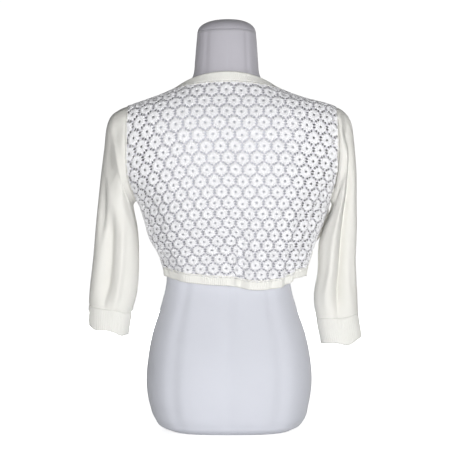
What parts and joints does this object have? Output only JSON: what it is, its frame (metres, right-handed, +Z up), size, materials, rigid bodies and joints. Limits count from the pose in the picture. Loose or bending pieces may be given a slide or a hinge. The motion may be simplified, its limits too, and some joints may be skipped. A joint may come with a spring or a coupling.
{
  "type": "knitted shrug on dress form",
  "caption": "Cropped open-front knitted shrug with a daisy lace back, plain three-quarter sleeves and ribbed bands, worn on a limbless table-top dress form.",
  "frame": {"origin": "middle of the form's flat base, on the surface it stands on", "axes": "+Z up; the wearer faces -Y, so the lace back faces +Y and the wearer's left arm is on +X"},
  "size_m": [0.5101, 0.2419, 0.76],
  "materials": {
    "form_cover": "matt grey-lavender knit cover stretched over the form",
    "neck_cap_cover": "the same cover, pulled over the neck cap and a little darker",
    "lace_knit": "off-white cotton lace knit in offset rows of small daisies",
    "plain_knit": "cream fine-gauge plain knit, matt and a little fuzzy",
    "rib_knit": "cream fine-gauge rib, matt"
  },
  "bodies": {
    "root": {"form_torso": "form_cover", "form_neck_cap": "neck_cap_cover", "back_lace": "lace_knit", "front_left": "plain_knit", "front_right": "plain_knit", "sleeve_left": "plain_knit", "sleeve_right": "plain_knit", "cuff_left": "rib_knit", "cuff_right": "rib_knit", "neck_band": "rib_knit", "front_band_left": "rib_knit", "front_band_right": "rib_knit", "hem_band": "rib_knit"}
  },
  "joints": []
}
